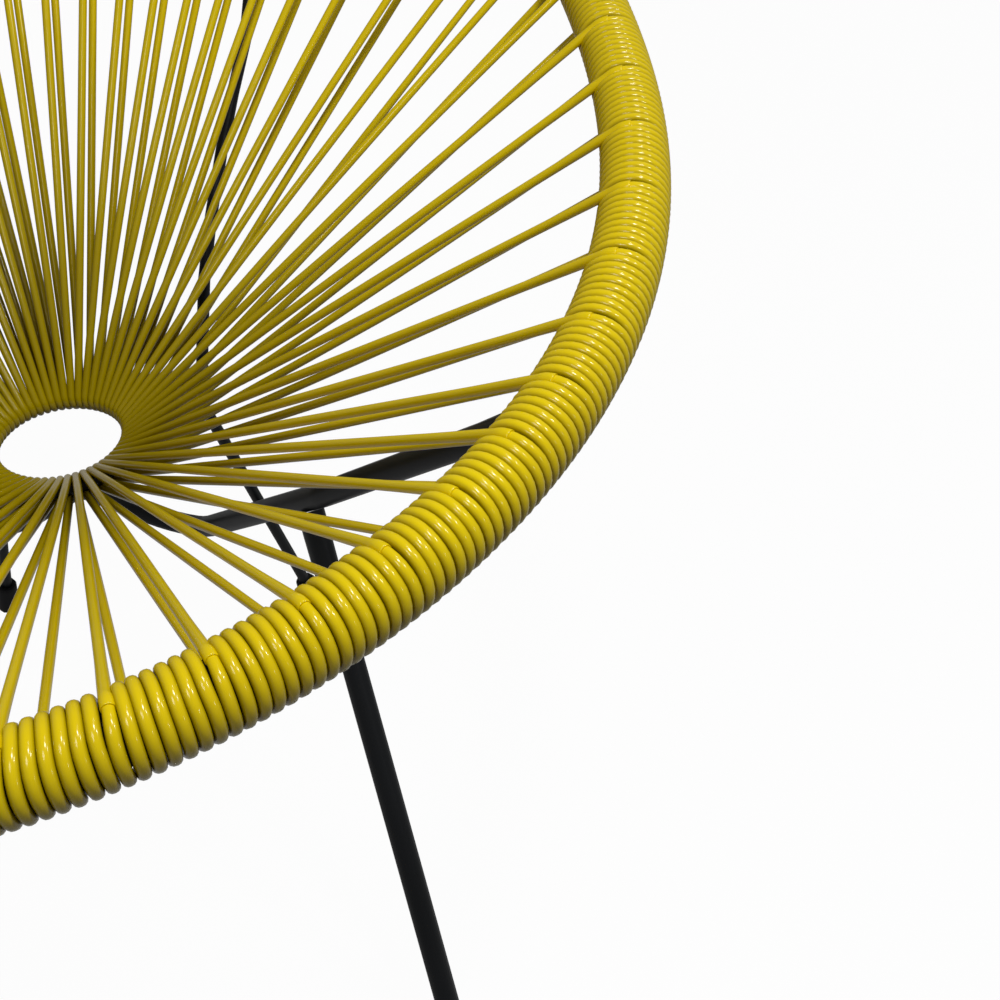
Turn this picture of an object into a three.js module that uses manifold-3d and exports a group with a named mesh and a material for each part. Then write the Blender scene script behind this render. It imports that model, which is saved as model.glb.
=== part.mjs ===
// A string chair: a wound rim, a web of cord pulled to a small ring, and a bent tube stand.
// Sizes are in millimetres. The seat faces -Y, up is +Z and the middle plane is x = 0.
import * as THREE from 'three';
import { mergeVertices } from 'three/addons/utils/BufferGeometryUtils.js';
import Module from 'manifold-3d';

const wasm = await Module();
wasm.setup();

// The rim, by the centre line of its tube.
const rimWide = 674.1;
const rimWideShares = [0.1711, 0.0615, -0.0489];   // how the outline swells and narrows to the top
const rimRun = 1116.3;          // length of the side line, from the front to the top of the back
const rimFrontHeight = 431.7;
const seatRun = 669.7;          // where the side line turns up into the back
const softRun = 27.8;           // how gently it turns
const seatRise = 0.0707;        // slopes of seat and back, in radians
const backRise = 1.1198;
const rimTube = 23.5;

// The ring that gathers the web.
const ringBack = 437.4;
const ringHeight = 246.6;
const ringTilt = 0.0336;
const ringHole = 72.8;
const ringRod = 8;

// The cord: turns of each piece from the front to the back, and its size where it is stretched.
const halfTurns = [8, ...Array(9).fill(7), 8, 9, ...Array(4).fill(10), ...Array(9).fill(11), ...Array(4).fill(12)];
const spliceShare = 0.3;        // room left at each splice, in turns
const cordShare = 0.415;        // half the cord's thickness, as a share of the pitch
const strand = 3.4;
const fit = 0.3;                // room between pieces that sit against each other
const spliceGap = 0.5;

// The stand.
const barTube = 13.6;
const bladeWide = 16;
const bladeThick = 5;
const bladeLong = 60;           // from its end to where the bar is round
const kneeOut = 172, kneeBack = 334, kneeHeight = 289;
const elbowOut = 62, elbowBack = 462, elbowHeight = 153;
const apexBack = 449, apexHeight = 202;
const kneeRadius = 60, elbowRadius = 30;
const legTopWide = 17, legTopThick = 14.5, legTaper = 70;
const legBarShare = 0.1;        // place of the front leg on the bar, from knee to elbow
const frontFootOut = 238, frontFootBack = 176;
const rearRod = 8;
const rearFootOut = 117.5, rearFootBack = 552;
const waistOut = 69.5, waistBack = 511, waistHeight = 219;
const rodRouteShares = [[0.11, 0.096, 0.133], [0.29, 0.259, 0.245], [0.52, 0.401, 0.352]];
const tieRod = 8;
const tieBarShare = 0.415, tieRodShare = 0.503;
const tabThick = 4, tabWide = 18;
const frontTabWayShares = [-0.42, 0.2, -0.88];   // which way the front tab points, under the web
const frontTabShare = 0.2775;   // places of the tabs, as shares of half the rim
const rearTabShare = 0.8836;
const frontCap = 18, rearCap = 15, capTall = 30, capFloor = 6, capEdge = 2.5;

const V = (x, y, z) => new THREE.Vector3(x, y, z);
const along = (p, d, length) => p.clone().addScaledVector(d, length);
const toward = (a, b) => b.clone().sub(a).normalize();
const square = (v, d) => v.clone().addScaledVector(d, -v.dot(d)).normalize();
const cross = (a, b) => new THREE.Vector3().crossVectors(a, b);
const up = V(0, 0, 1);
const side = V(1, 0, 0);

// A solid through rings of points. A loop joins its last ring to the first,
// anything else is closed with strips of quads at both ends. From the ring numbered turned
// on, each quad is split the other way, so that a bore's facets match what lies in it.
function skin(rings, loop = false, turned = Infinity) {
  const n = rings[0].length, spots = [];
  const quad = (a, b, c, d) => spots.push(a, b, c, a, c, d);
  for (let i = 0; i < rings.length - (loop ? 0 : 1); i++) {
    const one = rings[i], two = rings[(i + 1) % rings.length];
    for (let k = 0; k < n; k++) {
      const m = (k + 1) % n;
      if (i < turned) quad(one[k], one[m], two[m], two[k]);
      else quad(one[m], two[m], two[k], one[k]);
    }
  }
  if (!loop) {
    const a = rings[0], b = rings[rings.length - 1];
    for (let k = 0; k < n / 2 - 1; k++) {
      quad(a[k + 1], a[k], a[n - 1 - k], a[n - 2 - k]);
      quad(b[k], b[k + 1], b[n - 2 - k], b[n - 1 - k]);
    }
  }
  let volume = 0;
  for (let i = 0; i < spots.length; i += 3) volume += spots[i].dot(cross(spots[i + 1], spots[i + 2]));
  const flat = [];
  for (let i = 0; i < spots.length; i += 3) {
    const three = volume < 0 ? [spots[i], spots[i + 2], spots[i + 1]] : spots.slice(i, i + 3);
    for (const p of three) flat.push(p.x, p.y, p.z);
  }
  const shape = new THREE.BufferGeometry();
  shape.setAttribute('position', new THREE.Float32BufferAttribute(flat, 3));
  return shape;
}

// A ring of points about c, from u round by v.
const oval = (c, u, v, a, b, sides) => Array.from({ length: sides }, (_, k) => {
  const w = 2 * Math.PI * k / sides;
  return c.clone().addScaledVector(u, a * Math.cos(w)).addScaledVector(v, b * Math.sin(w));
});

// A tube or rod through points. Each point has half its width and half its thickness,
// lead is the width's direction at the start, and a cut slides a ring onto a plane.
function tube(points, halves, sides, lead, cuts = {}) {
  let u = lead;
  const last = points.length - 1;
  return skin(points.map((p, i) => {
    const d = toward(points[Math.max(i - 1, 0)], points[Math.min(i + 1, last)]);
    u = square(u, d);
    const v = cross(d, u), [a, b] = halves[Math.min(i, halves.length - 1)];
    const cut = cuts[i];
    return oval(p, u, v, a, b, sides).map((q) => (cut
      ? along(q, d, -cut.dot(q.clone().sub(p)) / cut.dot(d)) : q));
  }));
}

// The corners of a bent tube, each inner one turned into an arc.
function bent(corners, radii, steps) {
  const path = [corners[0]];
  corners.slice(1, -1).forEach((p, i) => {
    const d = toward(corners[i], p), e = toward(p, corners[i + 2]);
    const turn = Math.acos(d.dot(e)), into = square(e, d), r = radii[i];
    const start = along(p, d, -r * Math.tan(turn / 2));
    for (let k = 0; k <= steps[i]; k++) {
      const w = turn * k / steps[i];
      path.push(along(along(start, d, r * Math.sin(w)), into, r * (1 - Math.cos(w))));
    }
  });
  path.push(corners[corners.length - 1]);
  return path;
}

function block(c, a, b, d, sizes) {
  const box = new THREE.BoxGeometry(...sizes);
  return box.applyMatrix4(new THREE.Matrix4().makeBasis(a, b, d).setPosition(c));
}

// Joins and cuts.
function solid(shape) {
  const plain = shape.clone();
  plain.deleteAttribute('normal');
  plain.deleteAttribute('uv');
  const merged = mergeVertices(plain, fit / 1000);
  return new wasm.Manifold(new wasm.Mesh({
    numProp: 3,
    vertProperties: new Float32Array(merged.attributes.position.array),
    triVerts: new Uint32Array(merged.index.array),
  }));
}
function shapeOf(body) {
  const mesh = body.getMesh();
  const shape = new THREE.BufferGeometry();
  shape.setAttribute('position', new THREE.Float32BufferAttribute(mesh.vertProperties, 3));
  shape.setIndex([...mesh.triVerts]);
  return shape;
}
const joined = (shapes) => shapeOf(shapes.map(solid).reduce((a, b) => a.add(b)));
const cutBy = (shape, tools) => shapeOf(tools.map(solid).reduce((a, b) => a.subtract(b), solid(shape)));

// The rim's line. The side line is summed once, its slope swings from seat to back.
const sideSteps = 600;
const sideLine = [[0, rimFrontHeight]];
for (let i = 0; i < sideSteps; i++) {
  const s = rimRun * (i + 0.5) / sideSteps;
  const slope = seatRise + (backRise - seatRise) / (1 + Math.exp((seatRun - s) / softRun));
  const [y, z] = sideLine[i];
  sideLine.push([y + rimRun / sideSteps * Math.cos(slope), z + rimRun / sideSteps * Math.sin(slope)]);
}
class Rim extends THREE.Curve {
  getPoint(share, target = new THREE.Vector3()) {
    const t = 2 * Math.PI * share;
    const place = sideSteps * (1 - Math.cos(t)) / 2;
    const i = Math.min(Math.floor(place), sideSteps - 1), f = place - i;
    const swell = rimWideShares.reduce((sum, k, m) => sum + k * Math.cos((m + 1) * t), 1);
    return target.set(rimWide / 2 * Math.sin(t) * swell,
      sideLine[i][0] * (1 - f) + sideLine[i + 1][0] * f,
      sideLine[i][1] * (1 - f) + sideLine[i + 1][1] * f);
  }
}
const rim = new Rim();
rim.arcLengthDivisions = 2400;
const rimLength = rim.getLength();

// The winding fills the rim, so its pitch follows from the turns.
const turns = [...halfTurns, ...[...halfTurns].reverse()];
const pieces = turns.length;
const pitch = rimLength / turns.reduce((sum, n) => sum + n + spliceShare, 0);
const splices = [0];
for (const n of turns) splices.push(splices[splices.length - 1] + (n + spliceShare) * pitch);
const cordHalf = pitch * cordShare;
const coilHalf = rimTube / 2 + pitch;
const loopHalf = coilHalf - cordHalf;
const coreHalf = rimTube / 2 + fit * 1.2;
const strandHalf = strand / 2;
const coilSides = 8;

// A place in the count of pieces, 3.5 being halfway along the fourth, and its rim length.
const lengthAt = (g) => {
  const i = Math.min(Math.floor(g), pieces - 1);
  return splices[i] + (splices[i + 1] - splices[i]) * (g - i);
};
const countAt = (s) => {
  const i = Math.max(splices.findIndex((b) => b > s) - 1, 0);
  return i + (s - splices[i]) / (splices[i + 1] - splices[i]);
};

// The cord's wrap on the ring, and the ring's own line.
const wrapSegments = 4;
const wrapInner = (ringRod / 2 + fit) / Math.cos(Math.PI / wrapSegments / 2);
const wrapOuter = wrapInner + strand * 1.15;
const wrapHalf = (wrapInner + wrapOuter) / 2;
const ringHalf = ringHole / 2 + wrapOuter;
const ringBackward = V(0, Math.cos(ringTilt), Math.sin(ringTilt));
const ringSpot = (g) => {
  const w = 2 * Math.PI * g / pieces;
  return along(along(V(0, ringBack, ringHeight), side, ringHalf * Math.sin(w)),
    ringBackward, -ringHalf * Math.cos(w));
};

// Frames on the rim and the ring: t runs along, inward points into the web's gather, top to the sitter.
function rimFrame(s) {
  const share = s / rimLength - Math.floor(s / rimLength);
  const c = rim.getPointAt(share), t = rim.getTangentAt(share);
  const inward = square(ringSpot(countAt(share * rimLength)).sub(c), t);
  return { c, t, inward, top: cross(t, inward) };
}
function ringFrame(g) {
  const w = 2 * Math.PI * g / pieces, c = ringSpot(g);
  const t = V(0, 0, 0).addScaledVector(side, Math.cos(w)).addScaledVector(ringBackward, Math.sin(w));
  const far = rim.getPointAt(lengthAt((g + pieces) % pieces) / rimLength);
  const inward = square(c.clone().sub(far), t);
  return { c, t, inward, top: cross(t, inward) };
}
const rimRing = (f, half) => oval(f.c, f.top, f.inward, half, half, coilSides);

// Steps along each piece: more where the rim bends hard or carries real turns.
const woundIndex = [4, 5, 6];
const bendIndex = [16, 19], topIndex = 22;
const stepsOn = (i) => {
  const k = Math.min(i, pieces - 1 - i);
  if (woundIndex.includes(i)) return 3;
  return k >= topIndex || (k >= bendIndex[0] && k <= bendIndex[1]) ? 2 : 1;
};
const stationsOf = (first, last) => {
  const list = [];
  for (let i = first; i <= last; i++) {
    for (let k = 0; k < stepsOn(i); k++) list.push(lengthAt(i + k / stepsOn(i)));
  }
  return list;
};

// Tabs welded to the rim tube carry the stand. Each stands out of the winding, and its plate
// holds the line of the tube that is fixed to it.
function tabAt(s, drop, heading, reach, halfThick) {
  const f = rimFrame(s);
  const out = square(drop, f.t);
  const flat = square(heading, out), normal = cross(out, flat);
  const end = coilHalf + fit + reach;
  const plate = (spare) => block(along(f.c, out, end / 2), out, flat, normal,
    [end, tabWide + 2 * spare, tabThick + 2 * spare]);
  const seat = along(along(f.c, out, coilHalf + fit + reach / 2), normal, tabThick / 2 + fit + halfThick);
  return { f, plate: plate(0), slot: plate(fit), seat, normal, out };
}
const mirror = (p) => V(-p.x, p.y, p.z);
const halfLength = rimLength / 2;

// Parts of the stand on the +X side, which is then mirrored.
const knee = V(kneeOut, kneeBack, kneeHeight);
const elbow = V(elbowOut, elbowBack, elbowHeight);
const apex = V(fit / 2, apexBack, apexHeight);
const waist = V(waistOut, waistBack, waistHeight);
const rearFoot = V(rearFootOut, rearFootBack, 0);
const frontFoot = V(frontFootOut, frontFootBack, 0);

const frontSpot = halfLength * frontTabShare;
const frontTab = tabAt(frontSpot, V(...frontTabWayShares), toward(rimFrame(frontSpot).c, knee), bladeWide, bladeThick / 2);
const rearSpot = halfLength * rearTabShare;
const rearStart = rimFrame(rearSpot);
const rearGuess = along(rearStart.c, rearStart.top, -coilHalf - rearRod);
const routePoint = ([a, b, c], end) => V(waist.x + (end.x - waist.x) * a,
  waist.y + (end.y - waist.y) * b, waist.z + (end.z - waist.z) * c);
const rearHeading = toward(routePoint(rodRouteShares[2], rearGuess), rearGuess);
const rearTab = tabAt(rearSpot, rearStart.top.clone().negate(), rearHeading, rearRod, rearRod / 2);

const round = barTube / 2;
const barPath = bent([frontTab.seat, knee, elbow, apex], [kneeRadius, elbowRadius], [2, 6]);
barPath.splice(1, 0, along(barPath[0], toward(barPath[0], barPath[1]), tabWide),
  along(barPath[0], toward(barPath[0], barPath[1]), bladeLong));
const barLead = cross(frontTab.normal, toward(barPath[0], barPath[1]));
const sideBar = tube(barPath, [[bladeWide / 2, bladeThick / 2], [bladeWide / 2, bladeThick / 2],
  [round, round]], 12, barLead, { [barPath.length - 1]: side });

// Where a tube meets the side of another: how far from its axis it ends, and in which plane.
function seatOn(axis, radius, heading) {
  const plane = square(heading, axis);
  return { away: (radius + fit) / plane.dot(heading), plane };
}

const legStart = knee.clone().lerp(elbow, legBarShare);
const legWay = toward(legStart, frontFoot);
const barWay = toward(knee, elbow);
const legSeat = seatOn(barWay, round, legWay);
const legTop = along(legStart, legWay, legSeat.away);
const legEnd = (foot, way) => along(foot, way, -capFloor);
const frontLeg = tube([legTop, along(legTop, legWay, legTaper * 0.2), along(legTop, legWay, legTaper),
  legEnd(frontFoot, legWay)],
[[legTopWide / 2, legTopThick / 2], [legTopWide / 2, legTopThick / 2], [round, round]],
12, barWay, { 0: legSeat.plane });

// The rear legs go on up behind the web to the top of the back.
const rodHalf = rearRod / 2;
const rodEnd = along(rearTab.seat, rearHeading, tabWide / 3);
const rodWay = toward(waist, rearFoot);
const rodCurve = new THREE.CatmullRomCurve3([waist, ...rodRouteShares.map((s) => routePoint(s, rodEnd)),
  along(rodEnd, rearHeading, -tabWide), rodEnd], false, 'centripetal');
const rodPath = [legEnd(rearFoot, rodWay), along(waist, rodWay, elbowRadius),
  ...rodCurve.getPoints(11)];
const rearLeg = tube(rodPath, [[rodHalf, rodHalf]], 8, side);

// A short tie from each side bar to the rear leg behind it.
const tieStart = knee.clone().lerp(elbow, tieBarShare);
const tieStop = rearFoot.clone().lerp(waist, tieRodShare);
const tieWay = toward(tieStart, tieStop);
const tieSeats = [seatOn(barWay, round, tieWay), seatOn(rodWay, rodHalf, tieWay)];
const tie = tube([along(tieStart, tieWay, tieSeats[0].away), along(tieStop, tieWay, -tieSeats[1].away)],
  [[tieRod / 2, tieRod / 2]], 8, barWay, { 0: tieSeats[0].plane, 1: tieSeats[1].plane });

// Foot caps: flat underneath, with a socket for the leg.
function footCap(foot, way, size, inside) {
  const high = (z) => along(foot, way, -z / -way.z);
  const half = size / 2;
  const outer = tube([high(0), high(capEdge), along(foot, way, -capTall + capEdge), along(foot, way, -capTall)],
    [[half * 0.9, half * 0.9], [half, half], [half, half], [half * 0.88, half * 0.88]], 10, side,
    { 0: up, 1: up });
  const socket = tube([along(foot, way, -capFloor + fit), along(foot, way, -2 * capTall)],
    [[inside + fit, inside + fit]], inside === round ? 12 : 8, inside === round ? barWay : side);
  return cutBy(outer, [socket]);
}
const frontFootCap = footCap(frontFoot, legWay, frontCap, round);
const rearFootCap = footCap(rearFoot, rodWay, rearCap, rodHalf);

// The rim tube, with its four tabs, and the ring.
const rimStations = stationsOf(0, pieces - 1).map(rimFrame);
const flipped = (shape) => {
  const other = shape.clone().applyMatrix4(new THREE.Matrix4().makeScale(-1, 1, 1));
  const flat = other.index ? other.toNonIndexed() : other;
  const spots = flat.attributes.position.array;
  for (let i = 0; i < spots.length; i += 9) {
    for (let k = 0; k < 3; k++) [spots[i + 3 + k], spots[i + 6 + k]] = [spots[i + 6 + k], spots[i + 3 + k]];
  }
  const copy = new THREE.BufferGeometry();
  copy.setAttribute('position', new THREE.Float32BufferAttribute(spots, 3));
  return copy;
};
const rimSolid = joined([skin(rimStations.map((f) => rimRing(f, rimTube / 2)), true),
  frontTab.plate, rearTab.plate, flipped(frontTab.plate), flipped(rearTab.plate)]);
const ringSides = pieces / 2;
const ringSolid = skin(Array.from({ length: ringSides }, (_, i) => {
  const f = ringFrame(pieces * i / ringSides);
  return oval(f.c, f.top, f.inward, ringRod / 2, ringRod / 2, 6);
}), true);

// A strand of the web, from the ring to the rim, on the sitter's side or under it.
function strandOf(g, s, face, rimHalf, before, after) {
  const a = ringFrame(g), b = rimFrame(s);
  const low = along(a.c, a.top, wrapHalf * face), high = along(b.c, b.top, rimHalf * face);
  const way = toward(low, high);
  return tube([along(low, way, -before), along(high, way, after)], [[strandHalf, strandHalf]], 6, a.top);
}

// Where the upper strand of piece i meets the start of the next, for pieces with real turns.
const startOf = (i) => splices[i] + fit / 2 + cordHalf;
const stopOf = (i) => splices[i + 1] - 2 * fit - cordHalf;
const coreWallHalf = (coreHalf + coilHalf) / 2;

// Several pieces of cord as one plain winding with its strands and its wraps on the ring.
function plainRun(first, last, tools) {
  const spots = [splices[first] + fit / 2, ...stationsOf(first, last).slice(1), splices[last + 1] - fit / 2];
  const frames = spots.map(rimFrame);
  const parts = [skin([...frames.map((f) => rimRing(f, coilHalf)),
    ...frames.map((f) => rimRing(f, coreHalf)).reverse()], true, frames.length)];
  const wrapSpare = fit / 2 / (2 * Math.PI * ringHole / 2 / pieces);
  const wrapFrames = [first + 0.5 + wrapSpare, (first + last + 2) / 2, last + 1.5 - wrapSpare].map(ringFrame);
  const wrapAngles = Array.from({ length: wrapSegments + 1 }, (_, k) => Math.PI * k / wrapSegments);
  const wrapRow = (w, half) => wrapFrames.map((f) => along(along(f.c, f.top, half * Math.cos(w)),
    f.inward, half * Math.sin(w)));
  parts.push(skin(wrapAngles.map((w) => [...wrapRow(w, wrapOuter), ...wrapRow(w, wrapInner).reverse()])));
  for (let i = first; i <= last; i++) {
    const end = rimFrame(splices[i + 1]);
    const lean = Math.max(toward(end.c, ringSpot(i + 1)).dot(end.t), 0) * coilHalf;
    const s = splices[i + 1] - fit - strandHalf * 1.2 - lean;
    parts.push(strandOf(i + 1, s, -1, coreWallHalf, fit, strandHalf * 0.6));
    parts.push(woundIndex.includes(i + 1) ? strandOf(i + 1, startOf(i + 1), 1, loopHalf, fit, 0)
      : strandOf(i + 1, s, 1, coreWallHalf, fit, strandHalf * 0.6));
  }
  const whole = joined(parts);
  return tools.length ? cutBy(whole, tools) : whole;
}

// One piece of cord with its real turns: from the splice on top, round the rim, away from its
// underside to the ring, round the ring rod in the hole and back on top to the next splice.
const turnSteps = 16, wrapSteps = 6;
function woundPiece(i) {
  const n = turns[i] - 0.5;
  const path = [], halves = [];
  const put = (p, half) => { path.push(p); halves.push([half, half]); };
  const begin = spliceGap / loopHalf;
  for (let k = 0; k <= n * turnSteps; k++) {
    const share = k / (n * turnSteps), w = begin + (2 * Math.PI * n - begin) * share;
    const f = rimFrame(startOf(i) + (stopOf(i) - startOf(i)) * share);
    put(along(along(f.c, f.top, loopHalf * Math.cos(w)), f.inward, -loopHalf * Math.sin(w)), cordHalf);
  }
  const r = ringFrame(i + 1);
  const low = along(r.c, r.top, -wrapHalf);
  put(along(path[path.length - 1], toward(path[path.length - 1], low), 2 * strand), strandHalf);
  for (let k = 0; k <= wrapSteps; k++) {
    const w = Math.PI * (1 - k / wrapSteps);
    put(along(along(r.c, r.top, wrapHalf * Math.cos(w)), r.inward, wrapHalf * Math.sin(w)), strandHalf);
  }
  const f = rimFrame(startOf(i + 1));
  const goal = along(f.c, f.top, loopHalf);
  const reach = woundIndex.includes(i + 1) ? 0
    : Math.sqrt(coilHalf ** 2 - (loopHalf - strandHalf) ** 2) + strandHalf;
  put(along(goal, toward(goal, path[path.length - 1]), reach), strandHalf);
  return { path, halves, shape: tube(path, halves, 6, up) };
}
const wound = woundIndex.map(woundPiece);

// The least gap of each real winding to itself, over points more than one turn's half apart.
wound.forEach(({ path, halves }, m) => {
  let least = Infinity;
  for (let a = 0; a < path.length; a++) {
    for (let b = a + turnSteps / 2; b < path.length; b++) {
      least = Math.min(least, path[a].distanceTo(path[b]) - halves[a][0] - halves[b][0]);
    }
  }
  console.log(`winding ${m + 1}: least gap to itself ${least.toFixed(2)} mm`);
});

// Everything together, moved so that the middle of its base is the origin.
const cordPaint = new THREE.MeshStandardMaterial({ color: 0xe0c400, roughness: 0.32, metalness: 0 });
const framePaint = new THREE.MeshStandardMaterial({ color: 0x1b1e21, roughness: 0.45, metalness: 0.1 });
const capPaint = new THREE.MeshStandardMaterial({ color: 0x141516, roughness: 0.7, metalness: 0 });

const chair = new THREE.Group();
chair.name = 'string_chair';
function add(name, shape, paint) {
  const flat = shape.index ? shape.toNonIndexed() : shape;
  flat.deleteAttribute('uv');
  flat.computeVertexNormals();
  const mesh = new THREE.Mesh(flat, paint.clone());
  mesh.name = name;
  chair.add(mesh);
}
function addPair(name, shape, paint) {
  add(`${name}_right`, shape, paint);
  add(`${name}_left`, flipped(shape), paint);
}
add('rim_tube', rimSolid, framePaint);
add('ring_rod', ringSolid, framePaint);
addPair('side_bar', sideBar, framePaint);
addPair('front_leg', frontLeg, framePaint);
addPair('rear_leg', rearLeg, framePaint);
addPair('tie_rod', tie, framePaint);
addPair('front_foot_cap', frontFootCap, capPaint);
addPair('rear_foot_cap', rearFootCap, capPaint);
wound.forEach((w, m) => add(`cord_wound_${m + 1}`, w.shape, cordPaint));

const rightRuns = [[0, 3], [7, 9], [10, 12], [13, 15], [16, 18], [19, 21], [22, 25], [26, 28]];
const leftRuns = [[0, 3], [4, 6], ...rightRuns.slice(1)];
const holds = ([a, b], s) => s > splices[a] - tabWide && s < splices[b + 1] + tabWide;
const slotsOn = (run, flip) => [[frontSpot, frontTab], [rearSpot, rearTab]]
  .filter(([s]) => holds(run, s)).map(([, tab]) => (flip ? flipped(tab.slot) : tab.slot));
const label = (n) => String(n + 1).padStart(2, '0');
rightRuns.forEach((run, n) => add(`cord_right_${label(n)}`, plainRun(...run, slotsOn(run, false)), cordPaint));
leftRuns.forEach((run, n) => add(`cord_left_${label(n)}`,
  plainRun(pieces - 1 - run[1], pieces - 1 - run[0], slotsOn(run, true)), cordPaint));

const box = new THREE.Box3().setFromObject(chair);
const shift = -(box.min.y + box.max.y) / 2;
for (const mesh of chair.children) mesh.geometry.translate(0, shift, 0);
console.log(`rim ${rimLength.toFixed(0)} mm, pitch ${pitch.toFixed(3)} mm, moved ${shift.toFixed(2)} mm in Y`);

export default chair;
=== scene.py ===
# %% [markdown]
# # A string chair
# The chair is an egg-shaped hoop of steel tube, wound all the way round with plastic cord. Each piece of
# cord leaves the hoop, runs to a small ring under the sitter, turns round it and comes back, so the same
# cord is both the winding and the seat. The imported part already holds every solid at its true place.
# This lesson loads it as a fixed frame, gives the steel its finish, and lays the real cord over the
# plain cores. The rim's and the cord's sizes are in millimetres until a mesh is made of them. All other
# lengths are in metres. Right and left are those of the picture, and the sitter looks out of it.

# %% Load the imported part
import math

import bpy
import numpy as np
from mathutils import Matrix, Vector


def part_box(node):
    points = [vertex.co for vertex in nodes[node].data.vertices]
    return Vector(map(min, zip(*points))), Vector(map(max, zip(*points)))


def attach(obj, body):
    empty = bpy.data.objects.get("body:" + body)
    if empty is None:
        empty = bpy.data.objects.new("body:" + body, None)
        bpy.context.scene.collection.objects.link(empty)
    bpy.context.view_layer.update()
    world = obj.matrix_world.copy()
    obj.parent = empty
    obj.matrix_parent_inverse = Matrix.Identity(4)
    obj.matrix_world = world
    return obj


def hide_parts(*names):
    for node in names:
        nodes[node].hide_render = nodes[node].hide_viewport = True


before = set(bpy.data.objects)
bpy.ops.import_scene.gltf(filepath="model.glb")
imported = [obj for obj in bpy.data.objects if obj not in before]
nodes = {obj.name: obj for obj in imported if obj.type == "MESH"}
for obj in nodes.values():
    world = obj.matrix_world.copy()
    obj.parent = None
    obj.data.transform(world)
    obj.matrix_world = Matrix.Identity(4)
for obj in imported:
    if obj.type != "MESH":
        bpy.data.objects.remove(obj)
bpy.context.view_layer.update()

# %% [markdown]
# ## The camera
# The photograph is a close view from the sitter's left front, looking down into the seat, so most of the
# chair lies outside the picture. The camera is built first: its place and turn come from matching the
# rim, the ring and the legs, and everything later is judged through it. It stands only 0.6 m from the
# front of the rim but 1 m from the ring, so the winding looks much thicker in front.

# %% Camera
scene = bpy.context.scene
MM = 0.001
SHIFT = Vector((0.0, -0.43774, 0.0))      # from the rim's front to the middle of the base, in m

eye = Vector((287.946, -298.294, 820.173)) * MM + SHIFT
sight = Vector((-0.0272, 0.7621, -0.6468)).normalized()
right = Vector((0.9995, 0.0109, -0.0292))
right = (right - sight * right.dot(sight)).normalized()
upward = right.cross(sight)
camera_data = bpy.data.cameras.new("camera")
camera_data.lens = 56.53
camera_data.sensor_width = 36.0
camera_data.clip_start, camera_data.clip_end = 0.01, 50.0
camera = bpy.data.objects.new("camera", camera_data)
facing = Matrix((right, upward, -sight)).transposed().to_4x4()
camera.matrix_world = Matrix.Translation(eye) @ facing
scene.collection.objects.link(camera)
scene.camera = camera
print("camera at", tuple(round(v, 3) for v in eye))

# %% [markdown]
# ## The rim's line
# The hoop is egg-shaped from above and folds up into the back. Its line can be given by two simple rules:
# how wide it is and how steep it is. The slope swings smoothly from nearly level to steep, and summing it
# gives the side view. Everything that follows is placed by length along this line, because cord is laid
# by length and not by angle.

# %% Rim line
RIM_WIDE, RIM_RUN = 674.1, 1116.3         # the oval's width, and its length along the folded middle line
FRONT_HEIGHT = 431.7                      # of the tube's middle above the floor
SWELL = (0.1711, 0.0615, -0.0489)         # waves in the width that make the oval an egg
BEND_AT, BEND_SOFT = 669.7, 27.8          # where along the middle line it folds, and how softly
SEAT_RISE, BACK_RISE = 0.0707, 1.1198     # slopes of the seat and the back, in radians
STEPS, RIM_POINTS = 600, 9601

mid = RIM_RUN * (np.arange(STEPS) + 0.5) / STEPS
slope = SEAT_RISE + (BACK_RISE - SEAT_RISE) / (1 + np.exp((BEND_AT - mid) / BEND_SOFT))
side_y = np.r_[0, np.cumsum(np.cos(slope))] * RIM_RUN / STEPS
side_z = FRONT_HEIGHT + np.r_[0, np.cumsum(np.sin(slope))] * RIM_RUN / STEPS

t = np.linspace(0, 2 * np.pi, RIM_POINTS)
place = STEPS * (1 - np.cos(t)) / 2
swell = 1 + sum(k * np.cos((m + 1) * t) for m, k in enumerate(SWELL))
rim = np.c_[RIM_WIDE / 2 * np.sin(t) * swell,
            np.interp(place, np.arange(STEPS + 1), side_y),
            np.interp(place, np.arange(STEPS + 1), side_z)]
rim_length = np.r_[0, np.cumsum(np.linalg.norm(np.diff(rim, axis=0), axis=1))]
RIM = rim_length[-1]
rim_way = np.gradient(rim, rim_length, axis=0)
rim_way[0] = rim_way[-1] = (1, 0, 0)
print("rim", round(RIM), "mm round")


def unit(v):
    return v / np.linalg.norm(v, axis=-1, keepdims=True)


def lookup(table, s):
    """The row of a table of the rim's line at rim length s."""
    return np.stack([np.interp(s % RIM, rim_length, table[:, k]) for k in range(3)], -1)


# %% [markdown]
# ## The pieces of cord
# Each piece covers a few turns of the rim and then gives one pair of strands to the web. Near the front
# the pairs are close, seven turns apart. Towards the back they are ten to twelve turns apart. Counting
# turns fixes the pitch, because the winding has to fill the rim exactly.

# %% Turns, pitch and thickness
HALF_TURNS = [8] + [7] * 9 + [8, 9] + [10] * 4 + [11] * 9 + [12] * 4
TURNS = HALF_TURNS + HALF_TURNS[::-1]
PIECES = len(TURNS)
ROOM = 0.3                                # room at a splice, in turns
PITCH = RIM / sum(n + ROOM for n in TURNS)
SPLICES = np.r_[0, np.cumsum([(n + ROOM) * PITCH for n in TURNS])]
SPLICES[-1] = RIM

RIM_TUBE = 23.5
PRESS, SINK = 1.02, 0.97                  # turns press into each other and lie a little flat on the tube
CORD = PITCH / 2 * PRESS                  # half the cord's thickness where it is wound
LAY = RIM_TUBE / 2 + CORD * SINK          # from the tube's middle to the cord's middle
TOP_STRAND, LOW_STRAND = 2.2, 2.1         # half the thickness of the stretched cord
RING_STRAND = 2.35                        # and where it turns round the ring
print("pitch", round(PITCH, 3), "mm,", sum(TURNS), "turns,", PIECES, "pieces")

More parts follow.
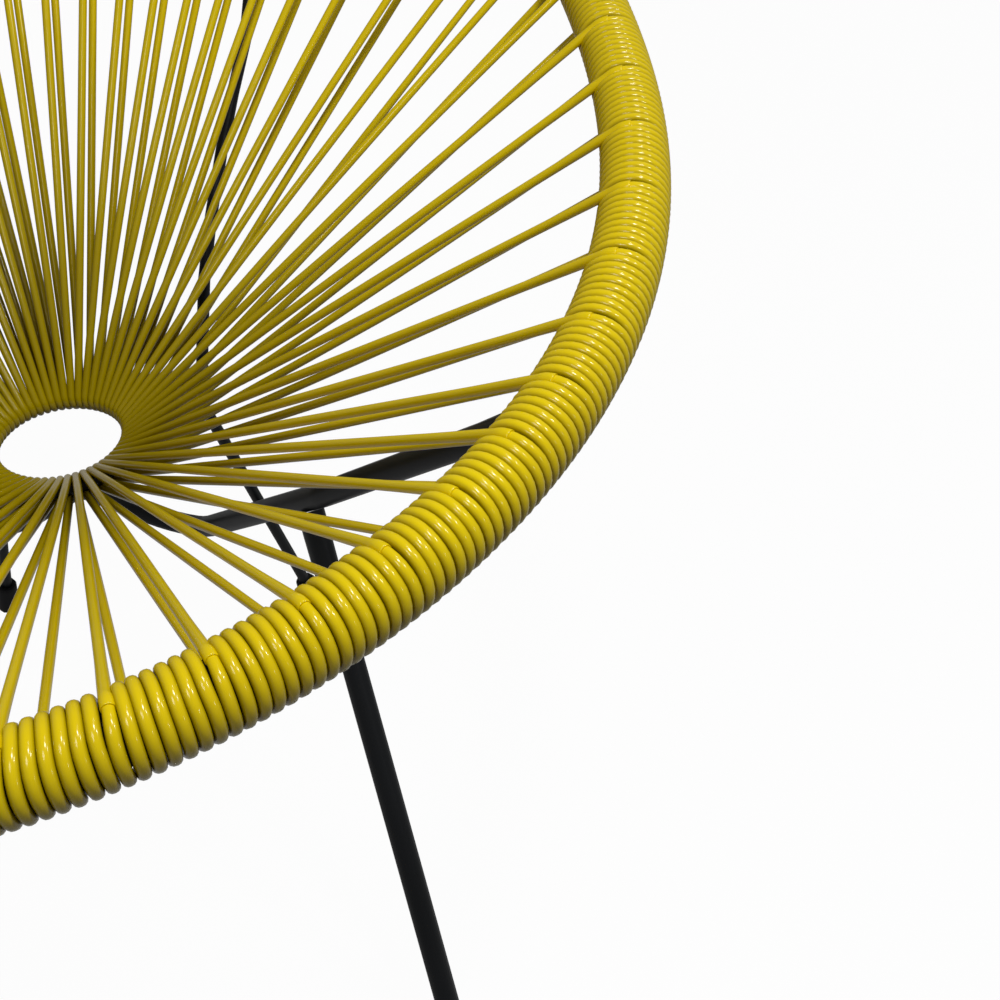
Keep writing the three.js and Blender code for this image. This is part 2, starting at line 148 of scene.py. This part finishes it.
# %% [markdown]
# ## Places on the ring and on the rim
# The ring has one place for every piece. To lay cord round a tube, four things have to be known at each
# spot: the tube's middle, its direction, the way inward and the side that faces the sitter. On the rim,
# inward is the way to the ring, and on the ring it is the way into the hole.

# %% Frames on the ring and the rim
RING_MID = np.array((0, 437.4, 246.6))
RING_TILT, RING_ROD = 0.0336, 8.0
RING_WRAP = RING_ROD / 2 + RING_STRAND
RING_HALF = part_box("ring_rod")[1][0] / MM - RING_ROD / 2
RING_BACK = np.array((0, math.cos(RING_TILT), math.sin(RING_TILT)))
ACROSS = np.array((1.0, 0, 0))


def ring_spot(g):
    """Middle of the ring's rod at place g, counted in pieces from the front."""
    w = 2 * np.pi * np.asarray(g, float)[..., None] / PIECES
    return RING_MID + RING_HALF * (np.sin(w) * ACROSS - np.cos(w) * RING_BACK)


def rim_frame(s):
    """Middle of the tube, its direction, the way to the ring and the sitter's side, at rim length s."""
    s = np.asarray(s, float)
    c, way = lookup(rim, s), unit(lookup(rim_way, s))
    inward = ring_spot(np.interp(s % RIM, SPLICES, np.arange(PIECES + 1))) - c
    inward = unit(inward - (inward * way).sum(-1, keepdims=True) * way)
    return c, way, inward, np.cross(way, inward)


def ring_frame(g):
    """Middle of the ring's rod, the way into the hole and the sitter's side, at place g."""
    g = np.asarray(g, float)
    w = 2 * np.pi * g[..., None] / PIECES
    c, way = ring_spot(g), np.cos(w) * ACROSS + np.sin(w) * RING_BACK
    inward = c - lookup(rim, np.interp(g % PIECES, np.arange(PIECES + 1), SPLICES))
    inward = unit(inward - (inward * way).sum(-1, keepdims=True) * way)
    return c, inward, np.cross(way, inward)


print("ring", round(2 * RING_HALF, 1), "mm across its rod's middle")

# %% [markdown]
# ## A tube along a path
# Every cord here is a closed section carried along a path. A curve with a bevel would do it too, but the
# cord swells where it is wound, thins where it is stretched, and is pressed slightly square between its
# neighbours. So the rings of points are laid one by one. A lead says where each ring's first point looks,
# which keeps the square corners in place and the skin free of twists. A sleeve's open end has a lip.
# Each point also keeps how deep it lies between neighbouring turns, which sets the shade painted there.

# %% Sweep helper
SIDES = 14
SQUARENESS = 0.25                         # how much the section's power grows where the cord is pressed
GROOVE_SHADE_POWER = 3                          # a high power keeps the painted shade between the turns narrow
LIP_WIDTH, LIP_DEPTH = 0.86, 1.2          # the opening's width as a share, and its depth in mm


def swept(path, halves, leads, squares):
    """Vertices, faces and the painted-shade mask between the turns of a cord along path, from its half
    thickness, lead and pressure.
    """
    way = unit(np.gradient(path, axis=0))
    us = unit(leads - (leads * way).sum(1, keepdims=True) * way)
    vs = np.cross(way, us)
    w = 2 * np.pi * np.arange(SIDES) / SIDES
    cos, sin = np.cos(w)[None, :], np.sin(w)[None, :]
    power = 2 + SQUARENESS * squares[:, None]
    reach = (abs(cos) ** power + abs(sin) ** power) ** (-1 / power)
    ring = reach[..., None] * (cos[..., None] * us[:, None] + sin[..., None] * vs[:, None])
    rings = path[:, None] + halves[:, None, None] * ring
    edge = path[-1] + LIP_WIDTH * (rings[-1] - path[-1])
    verts = np.concatenate([rings, edge[None], edge[None] - LIP_DEPTH * way[-1]]).reshape(-1, 3)
    count = len(path) + 2
    i, k = np.meshgrid(np.arange(count - 1), np.arange(SIDES), indexing="ij")
    a, b = i * SIDES + k, i * SIDES + (k + 1) % SIDES
    quads = np.stack([a, b, b + SIDES, a + SIDES], -1).reshape(-1, 4).tolist()
    last = (count - 1) * SIDES
    ends = [list(range(SIDES))[::-1], list(range(last, last + SIDES))]
    # painted shade between the turns: one on the sides pressed against neighbours, none on loose cord
    groove_shade_masks = np.concatenate([squares[:, None] * abs(sin) ** GROOVE_SHADE_POWER, np.zeros((2, SIDES))]).ravel()
    return verts, quads + ends, groove_shade_masks


def mesh_object(name, chunks, material):
    """One object from several chunks of cord in millimetres."""
    verts, faces, groove_shade_masks, start = [], [], [], 0
    for v, f, g in chunks:
        verts.append(v)
        groove_shade_masks.append(g)
        faces += [[k + start for k in face] for face in f]
        start += len(v)
    mesh = bpy.data.meshes.new(name)
    mesh.from_pydata((np.concatenate(verts) * MM + np.array(SHIFT)).tolist(), [], faces)
    mesh.polygons.foreach_set("use_smooth", [True] * len(mesh.polygons))
    # the mask for the shade painted between the turns
    depth = mesh.attributes.new("groove_shade", "FLOAT", "POINT")
    depth.data.foreach_set("value", np.concatenate(groove_shade_masks))
    mesh.update()
    mesh.materials.append(material)
    thing = bpy.data.objects.new(name, mesh)
    scene.collection.objects.link(thing)
    return thing


# %% [markdown]
# ## Nodes in one line each
# A material is a small net of nodes. Two helpers keep the nets short: one adds a node with its settings,
# and one sets its inputs, each either to a plain value or to another node's output.

# %% Node helpers
MIX_FIRST, MIX_SECOND, MIX_COLOUR = 6, 7, 2     # the Mix node's sockets when it mixes colours


def wire(tree, made, inputs):
    """Sets a node's inputs: a socket is linked, and anything else is a value."""
    for key, value in inputs.items():
        if isinstance(value, bpy.types.NodeSocket):
            tree.links.new(value, made.inputs[key])
        else:
            made.inputs[key].default_value = value
    return made


def add_node(tree, kind, inputs, **settings):
    made = tree.nodes.new("ShaderNode" + kind)
    for key, value in settings.items():
        setattr(made, key, value)
    return wire(tree, made, inputs)


# %% [markdown]
# ## Surface detail as a node group
# The cord, the powder coat and the rubber caps are never perfectly even. All three want the same two
# things: a slow change that tints or dulls the surface, and a fine grain for the bump. One node group
# gives both, and each material sets its own scales.

# %% Node group for uneven surfaces
UNEVEN_PARTS = (("Patch", 20.0, 2.0), ("Grain", 900.0, 3.0))    # name, usual scale per metre, detail


def uneven_group():
    tree = bpy.data.node_groups.new("uneven surface", "ShaderNodeTree")
    for name, scale, _ in UNEVEN_PARTS:
        socket = tree.interface.new_socket(f"{name} scale", in_out="INPUT", socket_type="NodeSocketFloat")
        socket.default_value = scale
        tree.interface.new_socket(name, in_out="OUTPUT", socket_type="NodeSocketFloat")
    source, sink = tree.nodes.new("NodeGroupInput"), tree.nodes.new("NodeGroupOutput")
    here = add_node(tree, "TexCoord", {}).outputs["Object"]
    for name, _, detail in UNEVEN_PARTS:
        scale = source.outputs[f"{name} scale"]
        noise = add_node(tree, "TexNoise", {"Vector": here, "Scale": scale, "Detail": detail})
        wire(tree, sink, {name: noise.outputs["Fac"]})
    return tree


UNEVEN = uneven_group()
print("group", UNEVEN.name)


# %% [markdown]
# ## Finishes
# The cord is glossy soft plastic in a strong yellow: a plain base colour, a low roughness and a weak
# reflection, so that only lamps show in it, as small bright dots on each turn. Its colour moves a little
# from place to place, as dyed plastic does. Shade is also painted into its colour: it is darker between the
# turns and near the ring, where crowded cords keep the light from each other. The steel has a satin black
# powder coat, whose skin has a slight ripple. The foot caps are black rubber, duller than the steel.

# %% Materials
BUMP_DEPTH = 0.0002                       # in m


def finish(name, dark, light, rough, shine, patch, grain, bump):
    """A finish whose colour runs from dark to light and whose roughness runs over a pair of values."""
    material = bpy.data.materials.new(name)
    material.use_nodes = True
    tree = material.node_tree
    uneven = add_node(tree, "Group", {"Patch scale": patch, "Grain scale": grain}, node_tree=UNEVEN)
    patches, ripple = uneven.outputs["Patch"], uneven.outputs["Grain"]
    tint = add_node(tree, "Mix", {0: patches, MIX_FIRST: (*dark, 1), MIX_SECOND: (*light, 1)},
                    data_type="RGBA")
    dull = add_node(tree, "MapRange", {"Value": patches, "To Min": rough[0], "To Max": rough[1]})
    raised = add_node(tree, "Bump", {"Height": ripple, "Strength": bump, "Distance": BUMP_DEPTH})
    wire(tree, tree.nodes["Principled BSDF"], {
        "Base Color": tint.outputs[MIX_COLOUR],
        "Roughness": dull.outputs["Result"],
        "Normal": raised.outputs["Normal"],
        "Specular IOR Level": shine,
    })
    return material


def paint_cord_shade(material, place, reach, darkest, groove_shade):
    """Paints shade into the base colour where cords crowd together: darker towards a place, and between the
    turns.
    """
    tree = material.node_tree
    skin = tree.nodes["Principled BSDF"]
    plain = skin.inputs["Base Color"].links[0].from_socket
    here = add_node(tree, "TexCoord", {}).outputs["Object"]
    away = add_node(tree, "VectorMath", {0: here, 1: place}, operation="DISTANCE").outputs["Value"]
    # painted shade: the colour is darkest within reach[0] of the place and full beyond reach[1]
    share = add_node(tree, "MapRange", {
        "Value": away, "From Min": reach[0], "From Max": reach[1], "To Min": darkest, "To Max": 1.0,
    }, interpolation_type="SMOOTHSTEP").outputs["Result"]
    # painted shade between the turns, from the mesh's mask
    depth = add_node(tree, "Attribute", {}, attribute_name="groove_shade").outputs["Fac"]
    groove_shade_factor = add_node(tree, "MapRange", {"Value": depth, "To Min": 1.0, "To Max": groove_shade}).outputs["Result"]
    # both painted shades together scale the base colour
    both = add_node(tree, "Math", {0: share, 1: groove_shade_factor}, operation="MULTIPLY").outputs[0]
    scaled = add_node(tree, "VectorMath", {0: plain, "Scale": both}, operation="SCALE").outputs["Vector"]
    wire(tree, skin, {"Base Color": scaled})


yellow_cord = finish("yellow cord", (0.73, 0.53, 0.0), (0.87, 0.665, 0.0), rough=(0.14, 0.18),
                     shine=0.3, patch=9, grain=250, bump=0.02)
# painted shade: darker near the ring and between the turns
paint_cord_shade(yellow_cord, Vector(RING_MID) * MM + SHIFT, reach=(0.05, 0.3), darkest=0.5, groove_shade=0.35)
black_coat = finish("black powder coat", (0.006, 0.0075, 0.009), (0.009, 0.010, 0.012),
                    rough=(0.40, 0.5), shine=0.22, patch=30, grain=1500, bump=0.12)
black_rubber = finish("black rubber", (0.005, 0.005, 0.006), (0.008, 0.008, 0.009),
                      rough=(0.6, 0.75), shine=0.2, patch=60, grain=2500, bump=0.2)
print("finishes", [m.name for m in (yellow_cord, black_coat, black_rubber)])

# %% [markdown]
# ## The steel
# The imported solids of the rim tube, the ring, the bars, the legs and the caps keep their own shape. They
# only need their finish and smooth shading, which blends the facets of a round tube but leaves true edges
# sharp.

# %% Steel and caps
SMOOTH_LIMIT = math.radians(48)


def soften(mesh, limit):
    """Shades across facets that meet within limit of each other. No point moves."""
    spots = [tuple(round(c, 5) for c in v.co) for v in mesh.vertices]
    around = {}
    for face in mesh.polygons:
        for v in face.vertices:
            around.setdefault(spots[v], []).append((face.normal.copy(), face.area))
    normals = []
    for face in mesh.polygons:
        for v in face.vertices:
            near = [n * area for n, area in around[spots[v]] if n.dot(face.normal) > math.cos(limit)]
            normals.append(sum(near, Vector()).normalized())
    mesh.polygons.foreach_set("use_smooth", [True] * len(mesh.polygons))
    mesh.normals_split_custom_set(normals)


steel = {name: solid for name, solid in nodes.items() if not name.startswith("cord")}
for name, solid in steel.items():
    solid.data.materials.clear()
    solid.data.materials.append(black_rubber if "cap" in name else black_coat)
    soften(solid.data, SMOOTH_LIMIT)
print("steel nodes", len(steel))

# %% [markdown]
# ## How the turns lie
# A piece begins at a splice on the sitter's side of the rim, hidden in the swollen end of another strand,
# and winds outward and under, turn by turn, back towards the splice before it. The little room that is
# left at a splice gathers into a short dark crack, on the near side in front and on the far side further
# along. In front the turns also lean: they lie further along the rim inside the hoop than outside. And
# facing the ring, where a piece has one turn fewer than outside, the turns spread to close the gap.
# Angles count from the sitter's side over the outside, and places are lengths along the rim.

# %% Places along the rim
SPLICE_ANGLE = math.radians(30)           # how far over the rim the sleeve reaches
CRACK_FRONT, CRACK_BACK = 0.11, 0.25      # room left beside a piece's start, in turns
CRACK_GROWS = (260, 480)                  # from the front, where it grows from the one to the other
CRACK_CHANGES = (200, 270)                # and where it changes sides
CRACK_ANGLE, CRACK_FADES = 0.45, (0.35, 0.9)    # the angle where it is widest, and cosines from there
LEAN, LEAN_ENDS = 2.8, (130, 240)         # how far the turns lean, in mm, and where along the rim that ends
SPREAD_GROWS = (0.6, 1)                   # sines of the angle inside the hoop where the turns spread
WAVES = ((0.02, 1.7, 1), (0.015, 0.73, 2.1))    # uneven laying: turns, waves in the angle, shift by piece
WAVES_GROW = (5, 7)                       # the first turn is laid straight


def ease(x, low, high):
    f = np.clip((x - low) / (high - low), 0, 1)
    return f * f * (3 - 2 * f)


def start_of(i):
    return SPLICES[i % PIECES] + (ROOM / 2 + 0.5) * PITCH


def from_front(i):
    """How far the start of piece i is from the middle of the front."""
    start = start_of(i + 1) % RIM
    return min(start, RIM - start)


def crack_of(i):
    return CRACK_FRONT + (CRACK_BACK - CRACK_FRONT) * ease(from_front(i), *CRACK_GROWS)


def pitch_of(i):
    n = TURNS[i % PIECES]
    return PITCH * (n + ROOM) / (n + crack_of(i))


def along_rim(i, w):
    """Where piece i lies along the rim, turned w from its start."""
    i = i % PIECES
    turn = w / (2 * np.pi)
    far = from_front(i)
    near = ease(np.cos(w - CRACK_ANGLE), *CRACK_FADES)
    gathered = np.where(turn < 0.5, ease(far, *CRACK_CHANGES), 1.0)
    crack = crack_of(i) * ((1 - near) * turn / TURNS[i] + near * gathered)
    uneven = sum(size * np.sin(rate * w + shift * i) for size, rate, shift in WAVES)
    spread = (turn / TURNS[i] - 0.5) * ease(-np.sin(w), *SPREAD_GROWS)
    wound = turn + crack + uneven * ease(w, *WAVES_GROW) + spread
    outside = np.minimum(w % (2 * np.pi), np.pi)
    lean = LEAN / 2 * np.interp(far, LEAN_ENDS, (1, 0)) * np.cos(2 * outside)
    return start_of(i + 1) - pitch_of(i) * wound + lean


# %% [markdown]
# ## Turns, wrap and sleeve
# Three stretches of a piece hug a tube: its turns on the rim, its wrap round the ring's rod and its
# sleeve. The sleeve is the last few millimetres, stretched over the start of the piece that carries the
# winding on. Pieces are numbered along the rim but wind back, so that one has the number before. Each
# stretch is given as places and leads, and the leads simply point away from the tube.

# %% Stretches on a tube
BULGE = 0.03                              # wider outside, where the rim's curve spreads the turns
SHEAR = 0.25                              # the cord crosses the ring's rod slantwise, by half a place
START_HIDDEN, START_SLIM = 0.35, 0.87     # how far the start lies in the sleeve, and its thickness there
START_SWELLS = 0.6                        # the angle in which it reaches its full thickness
TURN_STEPS, RING_POINTS, SLEEVE_POINTS = 28, 13, 9


def radial(s, w):
    """Away from the rim's tube at length s, turned w from the sitter's side over the outside."""
    _, _, inward, top = rim_frame(s)
    w = np.asarray(w)[..., None]
    return np.cos(w) * top - np.sin(w) * inward


def wound_part(i):
    """The turns of piece i, from inside the sleeve to the underside: places, leads, sizes, pressure."""
    turns = TURNS[i] - 0.5
    w = np.linspace(SPLICE_ANGLE - START_HIDDEN, 2 * np.pi * turns, int(turns * TURN_STEPS))
    s = along_rim(i, w)
    out = radial(s, w)
    pressed = ease(w, SPLICE_ANGLE, SPLICE_ANGLE + START_SWELLS)
    half = CORD * (START_SLIM + (1 - START_SLIM) * pressed) * (1 + BULGE * np.sin(w))
    return rim_frame(s)[0] + LAY * out, out, half, pressed


def around_ring(i):
    turn = np.linspace(0, 1, RING_POINTS)
    c, inward, top = ring_frame(i + SHEAR * (2 * turn - 1))
    w = np.pi * (1 - turn)[:, None]
    out = np.cos(w) * top + np.sin(w) * inward
    return c + RING_WRAP * out, out


def sleeve_part(i):
    """The end of piece i, over the rim and over the start of piece i - 1."""
    w = np.linspace(0, SPLICE_ANGLE, SLEEVE_POINTS)
    s = along_rim(i - 1, w)
    out = radial(s, w)
    return rim_frame(s)[0] + LAY * out, out


first_turns = wound_part(0)[0]
taken = np.linalg.norm(np.diff(first_turns, axis=0), axis=1).sum()
print("the first winding takes", round(taken), "mm of cord for", TURNS[0], "turns")

# %% [markdown]
# ## One whole piece
# After its turns the cord leaves from the rim's underside to the ring, dives under the ring's rod, comes
# up through the hole and runs back over the top to the same splice, where it ends as a sleeve. So one
# path with a changing thickness makes the turns, both strands and the sleeve. A strand is straight, but
# it thins as it leaves the rim and fills out again near the ring. Distances are from the rim, in mm.

# %% Path of a piece
LOW_FIRST, TOP_FIRST = 2, 1.5             # where a strand's first ring of points is
NEAR_RIM = np.r_[4:24:2.5, 32, 45]        # where its next ones are, close together
FAR_RIM, FAR_POINTS = 65, 9               # and from where on they are spread evenly
THINS, FILLS = (0, 13), (65, 180)
SQUARE_ENDS = (0, 8)                      # the lower strand loses its pressed section
SWOLLEN, SWOLLEN_ENDS = 0.25, (4, 45)     # the upper strand is thicker next to the sleeve
SLEEVE = CORD * 1.06
SLEEVE_WIDENS, MOUTH = (-0.15, 0.55), 0.98    # over this share of its length, and drawn in at the end


def stretched(start, end, start_out, end_out, first):
    """A straight strand: places, leads and distances from the rim."""
    length = np.linalg.norm(end - start)
    off = np.r_[first, NEAR_RIM, np.linspace(FAR_RIM, length, FAR_POINTS)[:-1]]
    f = (off / length)[:, None]
    return start + (end - start) * f, start_out + (end_out - start_out) * f, off


def piece_of_cord(i):
    turns, turns_out, turns_half, pressed = wound_part(i)
    ring, ring_out = around_ring(i)
    over, over_out = sleeve_part(i)
    down, down_out, off = stretched(turns[-1], ring[0], turns_out[-1], ring_out[0], LOW_FIRST)
    down_half = (LOW_STRAND + (CORD - LOW_STRAND) * (1 - ease(off, *THINS))
                 + (RING_STRAND - LOW_STRAND) * ease(off, *FILLS))
    down_pressed = 1 - ease(off, *SQUARE_ENDS)
    up, up_out, off = stretched(over[0], ring[-1], over_out[0], ring_out[-1], TOP_FIRST)
    up_half = (TOP_STRAND + SWOLLEN * (1 - ease(off, *SWOLLEN_ENDS))
               + (RING_STRAND - TOP_STRAND) * ease(off, *FILLS))
    over_half = up_half[0] + (SLEEVE - up_half[0]) * ease(np.linspace(0, 1, len(over)), *SLEEVE_WIDENS)
    over_half[-1] *= MOUTH
    path = np.concatenate([turns, down, ring, up[::-1], over])
    leads = np.concatenate([turns_out, down_out, ring_out, up_out[::-1], over_out])
    ring_half = np.full(len(ring), RING_STRAND)
    halves = np.concatenate([turns_half, down_half, ring_half, up_half[::-1], over_half])
    loose = np.zeros(len(ring) + len(up) + len(over))
    return swept(path, halves, leads, np.concatenate([pressed, down_pressed, loose]))


# %% [markdown]
# ## The whole web
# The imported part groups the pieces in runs, each a plain core, except three pieces that already have
# their turns. Every run is now replaced by the true cord of the same pieces, so each can still be told
# apart by name.

# %% Lay the cord
WOUND = (4, 5, 6)                         # the pieces that are nodes of their own
RIGHT_RUNS = [(0, 3), (7, 9), (10, 12), (13, 15), (16, 18), (19, 21), (22, 25), (26, 28)]
LEFT_RUNS = [(0, 3), (4, 6)] + RIGHT_RUNS[1:]
runs = {f"cord_wound_{m + 1}": (piece, piece) for m, piece in enumerate(WOUND)}
for n, run in enumerate(RIGHT_RUNS):
    runs[f"cord_right_{n + 1:02d}"] = run
for n, (first, last) in enumerate(LEFT_RUNS):
    runs[f"cord_left_{n + 1:02d}"] = (PIECES - 1 - last, PIECES - 1 - first)
points = 0
for name, (first, last) in runs.items():
    laid = mesh_object("laid_" + name, [piece_of_cord(i) for i in range(first, last + 1)], yellow_cord)
    points += len(laid.data.vertices)
    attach(laid, "root")
    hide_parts(name)
print("pieces of cord laid over", len(runs), "runs,", points, "points")

# %% [markdown]
# ## Floor and room
# The photograph has no background at all, only white. So a pale floor stands in for a studio table, and
# it and the room round it are white for the camera. For light that bounces they are dim, which lets the
# underside of each turn darken to olive, and a reflection shows only a part of their white.

# %% Floor and room
GLOSS_SHARE = 0.3                         # how much of the white room a reflection shows
FLOOR_DIM, FLOOR_PALE, GLOW_SHARE = 0.15, 0.95, 0.97
FLOOR_SIZE, FLOOR_DROP = 12, 0.0005       # it lies just below the feet, so that no faces coincide
ROOM_DIM = 0.05


def seen_straight(tree):
    """One for rays that show the scene itself, and part of that in a reflection, dim as in the photo."""
    path = add_node(tree, "LightPath", {})
    total = path.outputs["Is Camera Ray"]
    for name, share in (("Is Glossy Ray", GLOSS_SHARE), ("Is Transmission Ray", 1.0)):
        total = add_node(tree, "Math", {0: path.outputs[name], 1: share, 2: total},
                         operation="MULTIPLY_ADD", use_clamp=True).outputs[0]
    return total


def pale_floor():
    material = bpy.data.materials.new("pale floor")
    material.use_nodes = True
    material.cycles.emission_sampling = "NONE"          # its glow is only seen, and lights nothing
    tree = material.node_tree
    seen = seen_straight(tree)
    tint = add_node(tree, "Mix", {0: seen, MIX_FIRST: (*[FLOOR_DIM] * 3, 1),
                                  MIX_SECOND: (*[FLOOR_PALE] * 3, 1)}, data_type="RGBA")
    skin = wire(tree, tree.nodes["Principled BSDF"], {
        "Base Color": tint.outputs[MIX_COLOUR], "Roughness": 0.9, "Specular IOR Level": 0.0})
    glow = add_node(tree, "Emission", {"Strength": 1.0})
    share = add_node(tree, "Math", {0: seen, 1: GLOW_SHARE}, operation="MULTIPLY")
    mix = add_node(tree, "MixShader", {0: share.outputs[0], 1: skin.outputs[0], 2: glow.outputs[0]})
    wire(tree, tree.nodes["Material Output"], {"Surface": mix.outputs[0]})
    return material


bpy.ops.mesh.primitive_plane_add(size=FLOOR_SIZE, location=(0, 0, -FLOOR_DROP))
floor = bpy.context.object
floor.name = "floor"
floor.data.materials.append(pale_floor())

world = bpy.data.worlds.new("white room")
scene.world = world
world.use_nodes = True
sky = world.node_tree
level = add_node(sky, "MapRange", {"Value": seen_straight(sky), "To Min": ROOM_DIM, "To Max": 1.0})
wire(sky, sky.nodes["Background"], {"Color": (1, 1, 1, 1), "Strength": level.outputs["Result"]})
print("floor and room", floor.name, world.name)

# %% [markdown]
# ## Lamps
# Five small lamps give each turn its chain of bright dots. The main lamp hangs a metre above the seat, so
# the colour falls off towards the back. Three weaker ones stand lower, in front and on the right, and
# one stands high behind the chair, also on the right.

# %% Lamps
AIM = Vector((0.1, 0.0, 0.45))            # in the seat
LAMPS = {                                 # place and width in m, power in W
    "main lamp": ((0.50, -0.30, 1.50), 0.18, 6.0),
    "front lamp": ((0.08, -0.62, 0.92), 0.2, 1.0),
    "near lamp": ((0.69, -0.30, 1.02), 0.08, 1.35),
    "high lamp": ((0.86, 0.49, 2.46), 0.12, 2.5),
    "low lamp": ((0.90, -0.74, 0.70), 0.04, 0.3),
}
for name, (spot, width, power) in LAMPS.items():
    light = bpy.data.lights.new(name, "AREA")
    light.shape, light.size, light.energy = "DISK", width, power
    lamp = bpy.data.objects.new(name, light)
    lamp.location = spot
    lamp.rotation_mode = "QUATERNION"
    lamp.rotation_quaternion = (Vector(spot) - AIM).to_track_quat("Z", "Y")
    scene.collection.objects.link(lamp)
scene.view_settings.view_transform = "Standard"
print("lamps", len(LAMPS))
